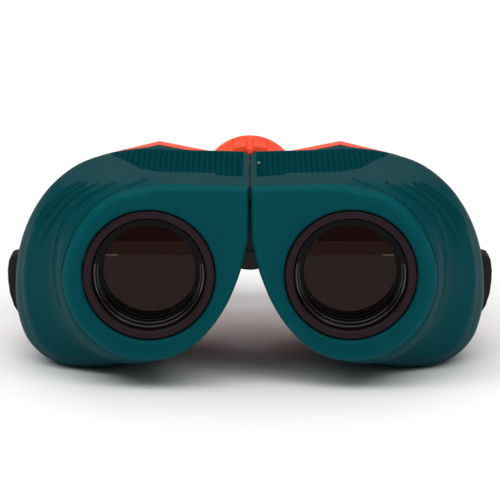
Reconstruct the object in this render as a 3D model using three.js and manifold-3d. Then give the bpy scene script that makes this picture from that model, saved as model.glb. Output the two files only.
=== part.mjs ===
// Compact reverse-Porro binoculars, 6x21 class, millimetres, +Z up, objectives toward -Y.
// "left" and "right" are the user's own sides looking through the eyepieces: right is -X, left is +X.
// Every half is drawn once in (u, y, z): u outward from the centre plane, y back from the front rim,
// z up from the objective axis, then placed on its side.
import * as THREE from 'three';
import { mergeVertices } from 'three/addons/utils/BufferGeometryUtils.js';
import Module from 'manifold-3d';
const wasm = await Module(); wasm.setup();

// ---- driving dimensions ----
const LENGTH = 94;            // front rim to eyecup rear, at the focus rest position
const FLOOR = -27.7;          // underside below the objective axis
const AXIS_Z = 8.0;           // hinge and focus-wheel axis above the objective axis
const OBJ_U = 22.6;           // objective axis from the centre plane
const EYE_U = 34.6;           // eyepiece axis from the centre plane
const EYE_Z = -12.0;          // eyepiece axis below the objective axis
const ARMOR_T = 1.8;          // rubber thickness
const FIT = 0.2;              // gap between rubber and shell
const WALL = 1.7;             // shell wall
const REAR_Y = 52.0;          // rear end of the shell and rubber
const COVER_Y0 = 52.3, COVER_Y1 = 57.0;
const NOTCH_Y = 42.0;         // front of the wheel bay
const HINGE_R = 8.6;          // hinge cavity radius
const BAY_R = 12.2;           // wheel bay radius
const WHEEL_R = 11.7, WHEEL_Y0 = 55.5, WHEEL_Y1 = 66.6, WHEEL_NOTCHES = 14;
const LUG = { u0: 49.9, u1: 57.2, y0: 35, y1: 41, z0: -17.2, z1: -3.2 };

// ---- helpers ----
function toM(g) {
  g = g.clone(); g.deleteAttribute('normal'); g.deleteAttribute('uv'); g.clearGroups?.();
  g = mergeVertices(g, 1e-4);
  const p = g.attributes.position.array; let idx = Array.from(g.index.array);
  let v = 0; const keep = [];
  for (let i = 0; i < idx.length; i += 3) {
    const [a, b, c] = [idx[i], idx[i + 1], idx[i + 2]];
    if (a === b || b === c || a === c) continue;
    keep.push(a, b, c);
    const A = p.slice(3 * a, 3 * a + 3), B = p.slice(3 * b, 3 * b + 3), C = p.slice(3 * c, 3 * c + 3);
    v += A[0] * (B[1] * C[2] - B[2] * C[1]) - A[1] * (B[0] * C[2] - B[2] * C[0]) + A[2] * (B[0] * C[1] - B[1] * C[0]);
  }
  if (v < 0) for (let i = 0; i < keep.length; i += 3) { const t = keep[i]; keep[i] = keep[i + 1]; keep[i + 1] = t; }
  return new wasm.Manifold(new wasm.Mesh({ numProp: 3, vertProperties: new Float32Array(p), triVerts: new Uint32Array(keep) }));
}
const lathe = (prof, seg, cx = 0, cz = 0) => {
  const g = new THREE.LatheGeometry(prof.map(([r, y]) => new THREE.Vector2(r, y)), seg);
  g.translate(cx, 0, cz); return toM(g);
};
const cyl = (r, y0, y1, seg, cx = 0, cz = 0) => lathe([[0, y0], [r, y0], [r, y1], [0, y1]], seg, cx, cz);
const tube = (ri, ro, y0, y1, seg, cx = 0, cz = 0) => lathe([[ri, y0], [ro, y0], [ro, y1], [ri, y1], [ri, y0]], seg, cx, cz);
const box = (x0, x1, y0, y1, z0, z1) => {
  const g = new THREE.BoxGeometry(Math.abs(x1 - x0), y1 - y0, z1 - z0);
  g.translate((x0 + x1) / 2, (y0 + y1) / 2, (z0 + z1) / 2); return toM(g);
};
// prism of a polygon in (x, z) between two depths
const slab = (poly, y0, y1) => loft([poly.map(([x, z]) => [x, y0, z]), poly.map(([x, z]) => [x, y1, z])]);
function loft(secs, fan = null) {
  const n = secs[0].length, pos = [], idx = [];
  secs.forEach(s => s.forEach(p => pos.push(...p)));
  for (let j = 0; j + 1 < secs.length; j++) for (let i = 0; i < n; i++) {
    const a = j * n + i, b = j * n + (i + 1) % n, c = a + n, d = b + n;
    idx.push(a, b, c, b, d, c);
  }
  const cap = (s, base, along) => { // along: triangles wound in the contour's own order
    const poly = s.map(p => new THREE.Vector2(p[0], p[2]));
    const ccw = THREE.ShapeUtils.area(poly) > 0;
    for (const t of THREE.ShapeUtils.triangulateShape(poly, [])) {
      const [A, B, C] = t.map(k => poly[k]);
      const tri = (B.x - A.x) * (C.y - A.y) - (B.y - A.y) * (C.x - A.x) > 0;
      const q = (tri === ccw) === along ? t : [t[0], t[2], t[1]]; idx.push(...q.map(k => base + k));
    }
  };
  if (fan) { // star-shaped ends: one centre vertex each
    const c0 = pos.length / 3; pos.push(fan[0], secs[0][0][1], fan[1]); pos.push(fan[0], secs.at(-1)[0][1], fan[1]);
    const l = (secs.length - 1) * n;
    for (let i = 0; i < n; i++) { const j = (i + 1) % n; idx.push(c0, j, i); idx.push(c0 + 1, l + i, l + j); }
  } else { cap(secs[0], 0, false); cap(secs.at(-1), (secs.length - 1) * n, true); }
  const g = new THREE.BufferGeometry();
  g.setAttribute('position', new THREE.Float32BufferAttribute(pos, 3)); g.setIndex(idx);
  return toM(g);
}
const cr = (a, b, c, d, t) => 0.5 * ((2 * b) + (-a + c) * t + (2 * a - 5 * b + 4 * c - d) * t * t + (-a + 3 * b - 3 * c + d) * t * t * t);

// ---- body cross-sections: 22 control points from the seam top, over the outside, back up the V ----
const SEC = [
  { y: 2, p: [[.2, 20.0], [5, 20.3], [10.5, 20.5], [16, 20.5], [22.2, 20.1], [28.4, 18.7], [33.3, 16], [37.6, 11.1], [40.6, 4.4], [41.6, -1.3], [40.3, -7.3], [37.3, -12.6], [32.8, -16.8], [27.5, -19.3], [22.5, -19.9], [17.5, -19], [13, -16.7], [8.7, -12.4], [5.2, -7], [2.7, -1.1], [1.4, 3.3], [.35, 8]] },
  { y: 9, p: [[.2, 20.3], [5, 20.6], [10.8, 20.8], [16.5, 20.9], [23.2, 20.8], [29.8, 20.0], [35.2, 17.8], [39.8, 13.2], [43.0, 6.2], [44.3, -.6], [43.6, -7.6], [41.2, -14], [37.2, -18.8], [31.8, -21.8], [26.4, -22.6], [20.5, -21.8], [15.2, -19.4], [10.3, -14.6], [6.2, -8], [3.1, -1.3], [1.5, 3.2], [.35, 8]] },
  { y: 25, p: [[.2, 20.4], [5.5, 20.8], [11.5, 21.0], [18, 21.2], [25, 21.6], [31, 21.9], [36.4, 21.2], [41.7, 18.5], [47.0, 13.3], [51.0, 6.4], [53.3, -1.2], [53.9, -9], [53.3, -15.5], [51, -21.8], [46.5, -26], [41, -27.7], [33, -27.7], [24, -25.6], [15, -21.6], [8.3, -12.8], [3.3, -2], [.35, 8]] },
  { y: 41, p: [[.2, 20.4], [5.5, 20.6], [11.5, 20.7], [17, 20.9], [23.5, 21.2], [30, 20.7], [36.0, 19.2], [41.6, 16.2], [46.9, 11.3], [50.9, 5.0], [53.2, -2.2], [54.0, -9.5], [53.2, -15.5], [50.8, -21.4], [46.5, -25.8], [41, -27.7], [33, -27.7], [24, -25.4], [15.5, -20.6], [9, -12.8], [4, -2], [.35, 8]] },
  { y: 52, p: [[.2, 17.2], [5.5, 17.5], [11, 18.0], [16.5, 19.1], [21.7, 20.3], [28.2, 18.8], [35.2, 16.8], [41.2, 14], [46.6, 9.4], [50.5, 3], [52.2, -4], [52.3, -10], [51.2, -15.5], [48.6, -20.5], [44.6, -24.4], [39.6, -26.2], [32.5, -26.2], [24.5, -23.6], [17.5, -18], [12, -11], [8, -2], [6, 8]] },
];
const SUB = 2; // points per control span
function ring(y) {
  let k = 0; while (k < SEC.length - 2 && y > SEC[k + 1].y) k++;
  const t = (y - SEC[k].y) / (SEC[k + 1].y - SEC[k].y), n = 22;
  const at = i => {
    const a = SEC[Math.max(0, k - 1)].p[i], b = SEC[k].p[i], c = SEC[k + 1].p[i], d = SEC[Math.min(SEC.length - 1, k + 2)].p[i];
    const f = j => cr(a[j], b[j], c[j], d[j], Math.min(1, Math.max(0, t)));
    return [f(0), Math.max(f(1), FLOOR)];
  };
  const P = [...Array(n).keys()].map(at), out = [];
  for (let i = 0; i < n - 1; i++) for (let q = 0; q < SUB; q++) {
    const a = P[Math.max(0, i - 1)], b = P[i], c = P[i + 1], d = P[Math.min(n - 1, i + 2)], s = q / SUB;
    out.push([Math.max(cr(a[0], b[0], c[0], d[0], s), .2), Math.max(cr(a[1], b[1], c[1], d[1], s), FLOOR)]);
  }
  out.push(P[n - 1]); return out;
}
function inset(r, d) {
  if (!d) return r; const n = r.length, out = [];
  for (let i = 0; i < n; i++) {
    const a = r[(i + n - 1) % n], b = r[i], c = r[(i + 1) % n];
    const e1 = [b[0] - a[0], b[1] - a[1]], e2 = [c[0] - b[0], c[1] - b[1]];
    const l1 = Math.hypot(...e1), l2 = Math.hypot(...e2);
    const n1 = [e1[1] / l1, -e1[0] / l1], n2 = [e2[1] / l2, -e2[0] / l2];
    let m = [n1[0] + n2[0], n1[1] + n2[1]]; const k = d / Math.max(.35, (1 + n1[0] * n2[0] + n1[1] * n2[1]));
    out.push([b[0] + m[0] * k, b[1] + m[1] * k]);
  }
  return out;
}
// loft of the section family, inset d, between y0 and y1, with optional rounded ends [[y, extra inset]]
function body(s, d, ys, extra = {}) {
  return loft(ys.map(y => inset(ring(Math.min(Math.max(y, 2), REAR_Y)), d + (extra[y] ?? 0)).map(([u, z]) => [s * u, y, z])), [s * 26, -3]);
}

function geo(m) {
  const mesh = m.getMesh(), g = new THREE.BufferGeometry();
  g.setAttribute('position', new THREE.Float32BufferAttribute(mesh.vertProperties, 3));
  g.setIndex(Array.from(mesh.triVerts)); return g;
}
// ---- node collection ----
const group = new THREE.Group(); group.name = 'compact_binoculars';
const MATS = {
  rubber_teal: [0x0b5a62, .62, 0], plastic_black: [0x1d1819, .5, 0], rubber_black: [0x171516, .7, 0],
  plastic_orange: [0xf0532b, .4, 0], glass: [0x1b2422, .05, 0], steel: [0xa9abad, .35, 1], brass: [0xb59150, .35, 1],
  aluminium_black: [0x26262a, .4, .6],
};
function add(name, m, mat) {
  if (m.isEmpty()) throw new Error(name + ' is empty');
  const parts = m.decompose(); if (parts.length > 1) {
    parts.sort((a, b) => b.volume() - a.volume());
    if (parts[1].volume() > .5) console.log(name, 'has', parts.length, 'pieces', parts.map(p => p.volume().toFixed(2)).join(' '));
    m = parts[0];
  }
  const g = geo(m); g.translate(0, -LENGTH / 2, -FLOOR); g.computeVertexNormals();
  const [color, roughness, metalness] = MATS[mat];
  const material = new THREE.MeshStandardMaterial({ color, roughness, metalness }); material.name = mat;
  const o = new THREE.Mesh(g, material); o.name = name; group.add(o);
}
const YS0 = [0, .7, 2, 5, 9, 14, 19.5, 25, 33, 41, 47, 52];

for (const s of [-1, 1]) {
  const side = s < 0 ? 'right' : 'left', N = n => side + '_' + n;
  const X = u => s * u, ox = X(OBJ_U), ex = X(EYE_U);
  const hinge = cyl(HINGE_R, 3.2, NOTCH_Y + 2, 24, 0, AXIS_Z);
  const bay = cyl(BAY_R, NOTCH_Y, 70, 28, 0, AXIS_Z).add(box(X(-1), X(9.8), NOTCH_Y, 70, 0, 30));
  const hingeP = cyl(HINGE_R + WALL, 0, NOTCH_Y + 2, 24, 0, AXIS_Z);
  const bayP = cyl(BAY_R + WALL, NOTCH_Y - WALL, 70, 28, 0, AXIS_Z).add(box(X(-1), X(9.8 + WALL), NOTCH_Y - WALL, 70, 0, 30));
  const pocket = box(X(49.6), X(60), LUG.y0 - 4.5, LUG.y1 + 4.5, LUG.z0 - .4, LUG.z1 + .4);

  // rubber armour
  const outer = body(s, 0, YS0, { 0: 1.5, .7: .45 });
  const under = body(s, ARMOR_T, [1.8, 5, 10, 17, 25, 41, 53], { 1.8: .5 });
  let armor = outer.subtract(under).subtract(hinge).subtract(bay).subtract(pocket)
    .subtract(cyl(15.4, -1, 6, 32, ox, 0));
  add(N('rubber_armor'), armor, 'rubber_teal');

  // hard shell with hinge knuckles, prism housing, lug pocket and screw bosses
  const d1 = ARMOR_T + FIT, ys1 = [2.0, 5, 10, 17, 25, 41, 52];
  const s1 = body(s, d1, ys1, { 2: .5 });
  const s2 = body(s, d1 + WALL, [3.8, 5, 10, 17, 25, 41, 53]);
  let cavity = s2.subtract(hingeP).subtract(bayP).subtract(box(X(48), X(60), LUG.y0 - 6.1, LUG.y1 + 6.1, LUG.z0 - 2, LUG.z1 + 2));
  const boss = (u, z, du, dz) => cyl(2.5, 45, 52, 12, X(u), z).add(box(X(u - 1), X(u + du), 45, 52, z - 1, z + dz));
  cavity = cavity.subtract(boss(18.5, 11.8, 1, 6)).subtract(boss(46.2, -1, 5, 1));
  let shell = s1.subtract(cavity).subtract(hinge).subtract(bay).subtract(pocket);
  const kn = s < 0 ? [[7.2, 14.6], [24, 31.4]] : [[15.6, 23], [32.4, 39.8]];
  for (const [a, b] of kn) {
    shell = shell.add(cyl(5.6, a, b, 20, 0, AXIS_Z)).add(box(X(3.5), X(9.4), a, b, AXIS_Z - 2.6, AXIS_Z + 2.6));
  }
  shell = shell.subtract(cyl(2.55, 3, 44, 20, 0, AXIS_Z)).subtract(cyl(15.25, -1, 5.8, 28, ox, 0)).subtract(cyl(13.8, 5, 16, 28, ox, 0));
  for (const [u, z] of [[18.5, 11.8], [46.2, -1]]) shell = shell.subtract(cyl(1.0, 46.5, 53, 10, X(u), z));
  add(N('body_shell'), shell, 'plastic_black');

  // orange rear cover with the eyepiece hole
  let cover = body(s, -.45, [COVER_Y0, 54.2, 56, COVER_Y1], { 56: .35, [COVER_Y1]: 1.3 }).subtract(bay)
    .subtract(cyl(9.95, 50, 60, 32, ex, EYE_Z));
  for (const [u, z] of [[18.5, 11.8], [46.2, -1]]) cover = cover.subtract(cyl(1.4, 50, 60, 10, X(u), z)).subtract(cyl(2.5, 55.4, 60, 14, X(u), z));
  add(N('rear_cover'), cover, 'plastic_orange');
  [['cover_screw_upper', 18.5, 11.8], ['cover_screw_lower', 46.2, -1]].forEach(([n, u, z]) => {
    const sc = lathe([[0, 47], [.8, 47], [.8, 55.7], [2.2, 55.7], [2.2, 56.6], [1.6, 56.9], [0, 56.9]], 14, X(u), z)
      .subtract(box(X(u) - 1.3, X(u) + 1.3, 56.4, 58, z - .3, z + .3)).subtract(box(X(u) - .3, X(u) + .3, 56.4, 58, z - 1.3, z + 1.3));
    add(N(n), sc, 'steel');
  });

  // objective group
  add(N('objective_barrel'), lathe([[12.9, 2.9], [15.0, 2.9], [15.0, 5.5], [13.6, 5.5], [13.6, 15], [11.2, 15], [11.2, 10], [12.9, 10], [12.9, 2.9]], 28, ox, 0), 'plastic_black');
  add(N('objective_bezel'), lathe([[12.7, 1.0], [13.1, .6], [14.0, .6], [14.5, 1.1], [14.5, 2.6], [12.7, 2.6], [12.7, 1.0]], 28, ox, 0), 'aluminium_black');
  add(N('objective_retainer'), lathe([[12.1, 1.4], [12.5, 1.4], [12.5, 5.9], [10.5, 5.9], [10.5, 5.5], [12.1, 1.4]], 28, ox, 0), 'plastic_black');
  add(N('objective_lens'), lathe([[0, 4.9], [5, 5.2], [10.2, 6.15], [12.6, 6.2], [12.6, 9.7], [10.9, 9.7], [5, 9.0], [0, 8.8]], 24, ox, 0), 'glass');

  // Porro prisms on their plate
  const plate = [[14.6, 7], [31, 7], [31, -3.5], [42.5, -3.5], [42.5, -18.6], [20, -18.6], [14.6, -13]];
  let pl = slab(plate.map(([u, z]) => [X(u), z]), 28.6, 29.8);
  for (const [u, z] of [[22.6, 0], [22.6, -12], [34.6, -12]]) pl = pl.subtract(cyl(5, 27, 31, 20, X(u), z));
  add(N('prism_plate'), pl, 'aluminium_black');
  const wedge = (pts, f) => { // right-angle prism, extruded
    const g = new THREE.BufferGeometry(); g.setAttribute('position', new THREE.Float32BufferAttribute(pts.flatMap(f), 3));
    g.setIndex([0, 1, 2, 3, 5, 4, 0, 3, 4, 0, 4, 1, 1, 4, 5, 1, 5, 2, 2, 5, 3, 2, 3, 0]); return toM(g);
  };
  add(N('prism_rear'), wedge([[30.1, 5.5, 17.1], [30.1, -17.5, 17.1], [41.3, -6, 17.1], [30.1, 5.5, 28.1], [30.1, -17.5, 28.1], [41.3, -6, 28.1]], ([y, z, u]) => [X(u), y, z]), 'glass');
  add(N('prism_front'), wedge([[28.3, 17.1, -17.5], [28.3, 40.1, -17.5], [17.1, 28.6, -17.5], [28.3, 17.1, -6.5], [28.3, 40.1, -6.5], [17.1, 28.6, -6.5]], ([y, u, z]) => [X(u), y, z]), 'glass');
  // spring clips bent over the roof edges
  const strip = (pts, t) => { // thin bent strip as a closed (a, b) outline
    const n = pts.length, up = pts.map(p => [p[0], p[1]]), dn = [];
    for (let i = 0; i < n; i++) {
      const a = pts[Math.max(0, i - 1)], c = pts[Math.min(n - 1, i + 1)], l = Math.hypot(c[0] - a[0], c[1] - a[1]);
      dn.push([pts[i][0] - (c[1] - a[1]) / l * t, pts[i][1] + (c[0] - a[0]) / l * t]);
    }
    return [...up, ...dn.reverse()];
  };
  const outl = strip([[-18.2, 30.3], [-17.6, 30.9], [-6, 42.2], [5.6, 30.9], [6.2, 30.3]], -.5);
  const o2 = strip([[16.4, 28.1], [17.0, 27.5], [28.6, 16.2], [40.2, 27.5], [40.8, 28.1]], .5);
  // lofted with the extrusion direction along y, then turned into place
  const turn = (m, f) => m.warp(v => { const q = f(v[0], v[1], v[2]); v[0] = q[0]; v[1] = q[1]; v[2] = q[2]; });
  const fixM = m => toM(geo(m));
  add(N('prism_clip_rear'), fixM(turn(loft([21, 24].map(w => outl.map(([z, y]) => [z, w, y]))), (z, w, y) => [X(w), y, z])), 'steel');
  add(N('prism_clip_front'), fixM(turn(loft([-13.5, -10.5].map(w => o2.map(([u, y]) => [u, w, y]))), (u, w, y) => [X(u), y, w])), 'steel');

  // strap lug: base, two arms and an upright bar with a strap slot
  let lug = slab([[X(LUG.u0), LUG.z0], [X(55.2), LUG.z0], [X(56.2), LUG.z0 + 3], [X(LUG.u1), -11], [X(LUG.u1), -5.2], [X(56.2), LUG.z1], [X(LUG.u0), LUG.z1]], LUG.y0, LUG.y1)
    .subtract(box(X(50.5), X(54.9), LUG.y0 - 1, LUG.y1 + 1, -15.4, -4.9));
  add(N('strap_lug'), lug, 'plastic_black');

  // eyepiece group
  const tz = EYE_Z, seg = 26;
  let et = lathe([[8.6, 47.2], [9.6, 47.2], [9.6, 60], [11, 60], [11, 82], [10.4, 82.4], [10.4, 88], [8.6, 88], [8.6, 47.2]], seg, ex, tz);
  const [ya, yb] = s < 0 ? [74.1, 77.0] : [70.6, 73.5];
  const ux = ex, uz = tz - AXIS_Z, ul = Math.hypot(ux, uz), dx = ux / ul, dz = uz / ul, px = -dz, pz = dx;
  const armPts = [[3.6, 4.2], [30.2, 5.6], [30.2, -5.6], [3.6, -4.2]].map(([a, b]) => [dx * a + px * b, AXIS_Z + dz * a + pz * b]);
  et = et.add(slab(armPts, ya, yb).add(cyl(5.6, ya, yb, 24, 0, AXIS_Z)).subtract(cyl(2.0, 60, 90, 16, 0, AXIS_Z))
    .subtract(cyl(9.6, 60, 90, 24, ex, tz)));
  add(N('eyepiece_tube'), et, 'plastic_black');
  add(N('lens_cell'), lathe([[7.2, 49.0], [8.3, 49.0], [8.3, 86.9], [7.0, 86.9], [7.0, 85.9], [7.8, 85.9], [7.8, 52.0], [7.2, 52.0], [7.2, 49.0]], 20, ex, tz), 'plastic_black');
  add(N('field_lens'), lathe([[0, 51.7], [7.0, 52.3], [7.5, 52.3], [7.5, 54.6], [7.0, 54.6], [0, 55.6]], 24, ex, tz), 'glass');
  add(N('eye_lens'), lathe([[0, 81.0], [7.0, 82.0], [7.5, 82.0], [7.5, 85.6], [6.8, 85.6], [0, 86.3]], 24, ex, tz), 'glass');
  add(N('eyecup'), lathe([[10.7, 83.0], [12.6, 83.0], [13.4, 84.4], [14.2, 90], [15.0, 93.2], [14.4, 94.0], [13.2, 94.0], [11.4, 91.2], [10.7, 89.2], [10.7, 83.0]], seg, ex, tz), 'rubber_black');
  if (s < 0) {
    const pts = (r, y) => [...Array(72).keys()].map(i => { const a = i / 72 * Math.PI * 2, q = (i % 3 === 0) ? r - .35 : r; return [ex + q * Math.cos(a), y, tz + q * Math.sin(a)]; });
    add('right_diopter_ring', loft([pts(12.9, 78.2), pts(13.4, 78.7), pts(13.4, 81.6), pts(12.9, 82.1)], [ex, tz]).subtract(cyl(11.3, 70, 90, seg, ex, tz)), 'plastic_black');
  } else {
    add('left_eyepiece_collar', lathe([[11.3, 78.2], [12.5, 78.2], [13.0, 78.7], [13.0, 81.6], [12.5, 82.1], [11.3, 82.1], [11.3, 78.2]], seg, ex, tz), 'plastic_black');
  }
}

// ---- centre line ----
const cz = AXIS_Z;
add('hinge_axle', lathe([[0, 5.8], [2.3, 5.8], [2.3, 47.4], [1.6, 47.4], [1.6, 48.4], [0, 48.4]], 20, 0, cz), 'steel');
add('hinge_front_cap', lathe([[0, 3.5], [6.6, 3.5], [7.6, 4.1], [7.6, 5.4], [0, 5.4]], 32, 0, cz), 'plastic_black');
add('hinge_front_washer', tube(2.6, 5.0, 5.9, 6.8, 20, 0, cz), 'steel');
{
  const hex = [...Array(6).keys()].map(i => [4.2 * Math.cos(i * Math.PI / 3), cz + 4.2 * Math.sin(i * Math.PI / 3)]);
  add('hinge_rear_nut', slab(hex, 41.0, 44.4).subtract(cyl(2.5, 40, 46, 16, 0, cz)), 'brass');
}
add('focus_sleeve', lathe([[1.9, 48.7], [4.4, 48.7], [4.4, 50.2], [3.0, 50.2], [3.0, 67.4], [1.9, 67.4], [1.9, 48.7]], 20, 0, cz), 'brass');
add('wheel_retainer', tube(3.3, 5.4, 66.9, 67.9, 20, 0, cz), 'steel');
{
  const prof = (r, y, dip) => {
    const out = [], n = WHEEL_NOTCHES;
    for (let i = 0; i < n; i++) for (const [f, k] of [[-.5, 0], [-.28, 0], [-.13, .75], [0, 1], [.13, .75], [.28, 0]]) {
      const a = (i + f) / n * Math.PI * 2 + Math.PI / 2; const q = r - dip * k; out.push([q * Math.cos(a), y, cz + q * Math.sin(a)]);
    }
    return out;
  };
  add('focus_wheel', loft([prof(WHEEL_R - .9, WHEEL_Y0, .5), prof(WHEEL_R, WHEEL_Y0 + 1.1, .9), prof(WHEEL_R, 64.4, .9), prof(WHEEL_R, 65.0, 0), prof(WHEEL_R, 65.9, 0), prof(WHEEL_R - .7, WHEEL_Y1, 0)], [0, cz])
    .subtract(cyl(6.3, 50, 70, 28, 0, cz)), 'plastic_orange');
}
add('focus_wheel_core', tube(3.25, 6.05, WHEEL_Y0 + .3, WHEEL_Y1 - .2, 28, 0, cz), 'plastic_black');
add('focus_shaft', cyl(1.65, 50.6, 81.0, 16, 0, cz), 'steel');
add('bridge_washer', tube(1.95, 4.6, 77.3, 78.0, 20, 0, cz), 'steel');
add('bridge_end_cap', lathe([[1.9, 78.3], [5.4, 78.3], [5.4, 80.6], [4.4, 82.0], [0, 82.2], [0, 81.3], [1.9, 81.3], [1.9, 78.3]], 24, 0, cz), 'plastic_black');

export default group;
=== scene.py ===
# Compact reverse-Porro binoculars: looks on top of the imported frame. Metres; design numbers in mm are turned by T().
import math
import bpy, bmesh
import numpy as np
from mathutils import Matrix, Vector

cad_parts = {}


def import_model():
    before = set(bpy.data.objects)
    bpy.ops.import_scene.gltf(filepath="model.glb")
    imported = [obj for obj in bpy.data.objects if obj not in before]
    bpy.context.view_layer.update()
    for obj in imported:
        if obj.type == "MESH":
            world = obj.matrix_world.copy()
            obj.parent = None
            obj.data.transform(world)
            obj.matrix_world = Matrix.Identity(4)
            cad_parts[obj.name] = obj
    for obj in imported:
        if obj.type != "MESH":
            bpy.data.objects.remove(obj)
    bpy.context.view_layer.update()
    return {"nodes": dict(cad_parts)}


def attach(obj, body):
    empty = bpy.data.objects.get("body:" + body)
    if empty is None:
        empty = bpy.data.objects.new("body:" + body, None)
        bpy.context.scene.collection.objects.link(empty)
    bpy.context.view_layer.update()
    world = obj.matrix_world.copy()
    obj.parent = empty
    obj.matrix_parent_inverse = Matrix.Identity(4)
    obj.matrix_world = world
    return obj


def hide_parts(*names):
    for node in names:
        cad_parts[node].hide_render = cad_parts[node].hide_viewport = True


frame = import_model()

LEN2, FLOOR, AXZ = 47.0, -27.7, 8.0
OBJ_U, EYE_U, EYE_Z = 22.6, 34.6, -12.0
SIDES = (("right", -1), ("left", 1))
COL = bpy.context.scene.collection


def T(p):
    p = np.asarray(p, float)
    return np.stack([p[..., 0] / 1000, (p[..., 1] - LEN2) / 1000, (p[..., 2] - FLOOR) / 1000], -1)


# ------------------------------------------------------------------ materials
def mat(name, base, rough=.5, metal=0., spec=.5, coat=0., coat_rough=.1, trans=0., ior=1.5,
        noise=0., nscale=900., bump=0., bscale=2500., tint=None, sheen=0., sheen_rough=.4):
    m = bpy.data.materials.new(name)
    m.use_nodes = True
    nt = m.node_tree
    b = nt.nodes["Principled BSDF"]
    b.inputs["Base Color"].default_value = (*base, 1)
    b.inputs["Roughness"].default_value = rough
    b.inputs["Metallic"].default_value = metal
    b.inputs["Specular IOR Level"].default_value = spec
    b.inputs["Coat Weight"].default_value = coat
    b.inputs["Coat Roughness"].default_value = coat_rough
    b.inputs["Transmission Weight"].default_value = trans
    b.inputs["IOR"].default_value = ior
    b.inputs["Sheen Weight"].default_value = sheen
    b.inputs["Sheen Roughness"].default_value = sheen_rough
    if tint:
        b.inputs["Specular Tint"].default_value = (*tint, 1)
    if noise or bump:
        tc = nt.nodes.new("ShaderNodeTexCoord")
        nz = nt.nodes.new("ShaderNodeTexNoise")
        nz.inputs["Scale"].default_value = nscale
        nz.inputs["Detail"].default_value = 3
        nt.links.new(tc.outputs["Object"], nz.inputs["Vector"])
        if noise:
            mx = nt.nodes.new("ShaderNodeMix")
            mx.data_type = "RGBA"
            mx.inputs["A"].default_value = (*[c * (1 - noise) for c in base], 1)
            mx.inputs["B"].default_value = (*[min(1, c * (1 + noise)) for c in base], 1)
            nt.links.new(nz.outputs["Fac"], mx.inputs["Factor"])
            nt.links.new(mx.outputs["Result"], b.inputs["Base Color"])
            mr = nt.nodes.new("ShaderNodeMapRange")
            mr.inputs["To Min"].default_value = max(.02, rough - .05)
            mr.inputs["To Max"].default_value = min(1, rough + .05)
            nt.links.new(nz.outputs["Fac"], mr.inputs["Value"])
            nt.links.new(mr.outputs["Result"], b.inputs["Roughness"])
        if bump:
            n2 = nt.nodes.new("ShaderNodeTexNoise")
            n2.inputs["Scale"].default_value = bscale
            n2.inputs["Detail"].default_value = 2
            nt.links.new(tc.outputs["Object"], n2.inputs["Vector"])
            bp = nt.nodes.new("ShaderNodeBump")
            bp.inputs["Strength"].default_value = bump
            bp.inputs["Distance"].default_value = .00006
            nt.links.new(n2.outputs["Fac"], bp.inputs["Height"])
            nt.links.new(bp.outputs["Normal"], b.inputs["Normal"])
    return m


M = {
    "teal": mat("teal_rubber", (.95, .95, .95), .47, spec=.03, noise=.05, bump=.3),
    # the ribbed panel is a darker copy of the teal rubber: painted shade of the recessed ribs
    "panel": mat("teal_ribbed", (.0001, .039, .0465), .6, spec=.004, noise=.05, bump=.3),
    "orange": mat("orange_plastic", (.94, .105, .050), .38, spec=.3),
    "wheel": mat("orange_wheel", (1.0, .082, .026), .48, spec=.25),
    "black": mat("black_plastic", (.012, .008, .0085), .42, spec=.25, bump=.2),
    "ring": mat("black_ring", (.0150, .0080, .0100), .36, spec=.08),
    # painted highlight: a lighter, glossier copy of the well finish, used only on the lower fillet arcs of the retainer
    "edge": mat("well_edge", (.012, .009, .009), .09, spec=.6),
    "well": mat("well_black", (.0022, .0016, .0015), .12, spec=.09),
    "lug": mat("lug_black", (.018, .0105, .0105), .45, spec=.12, bump=.2),
    "hinge": mat("hinge_brown_black", (.010, .0055, .0045), .4, spec=.15),
    "shell": mat("shell_black", (.010, .008, .008), .6, spec=.35, bump=.4, bscale=1600),
    "eyecup": mat("eyecup_rubber", (.010, .009, .0095), .62, spec=.3, bump=.35),
    "steel": mat("steel", (.52, .52, .53), .32, metal=1.),
    "brass": mat("brass", (.55, .38, .14), .33, metal=1.),
    "plate": mat("plate_black", (.02, .02, .022), .5, metal=.5),
    "glass": mat("coated_glass", (.95, .93, .92), .0, trans=1., ior=1.02),
    "eyeglass": mat("eye_lens_glass", (.93, .94, .95), .0, trans=1., ior=1.22),
    "prism": mat("prism_dark", (.0165, .0095, .0100), .25, spec=.06),
    "prism_band": mat("prism_roof", (.0140, .0060, .0048), .35, spec=.05),
    "prism_up": mat("prism_shade", (.0105, .0030, .0021), .4, spec=.04),
    "dot": mat("index_dot", (.13, .15, .15), .5),
}

# hardly any light comes back through the lenses, so what lies behind them glows with a fixed dim tone instead: painted
# light, the face brightest, the roof darker, the sheet above darkest as painted shade
for key, glow_tone in (("prism", (.0236, .0160, .0152)), ("prism_band", (.0192, .0096, .0077)), ("prism_up", (.0102, .0036, .0029))):
    pb = [q for q in M[key].node_tree.nodes if q.type == "BSDF_PRINCIPLED"][0]
    pb.inputs["Base Color"].default_value = (.001, .001, .001, 1)
    pb.inputs["Specular IOR Level"].default_value = 0
    pb.inputs["Emission Color"].default_value = (*glow_tone, 1)
    pb.inputs["Emission Strength"].default_value = 1

# the rubber takes its colour from the "tint" attribute of its piece, which carries a painted sheen on the smooth top
# and a painted highlight on the rim
nt = M["teal"].node_tree
at = nt.nodes.new("ShaderNodeAttribute")
at.attribute_name = "tint"
mu = nt.nodes.new("ShaderNodeMix")
mu.data_type, mu.blend_type = "RGBA", "MULTIPLY"
mu.inputs["Factor"].default_value = 1
link = nt.nodes["Principled BSDF"].inputs["Base Color"].links[0]
nt.links.new(link.from_socket, mu.inputs["B"])
nt.links.new(at.outputs["Color"], mu.inputs["A"])
nt.links.new(mu.outputs["Result"], nt.nodes["Principled BSDF"].inputs["Base Color"])
# TEAL rows: plain rubber colour; a lighter, greyer painted sheen for the smooth up-facing top; a brighter painted
# highlight for the rounded rim
TEAL = np.array([(.0001, .0500, .0590), (.0090, .0540, .0625), (.0001, .0670, .0785)])  # plain, smooth top, rim


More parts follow.
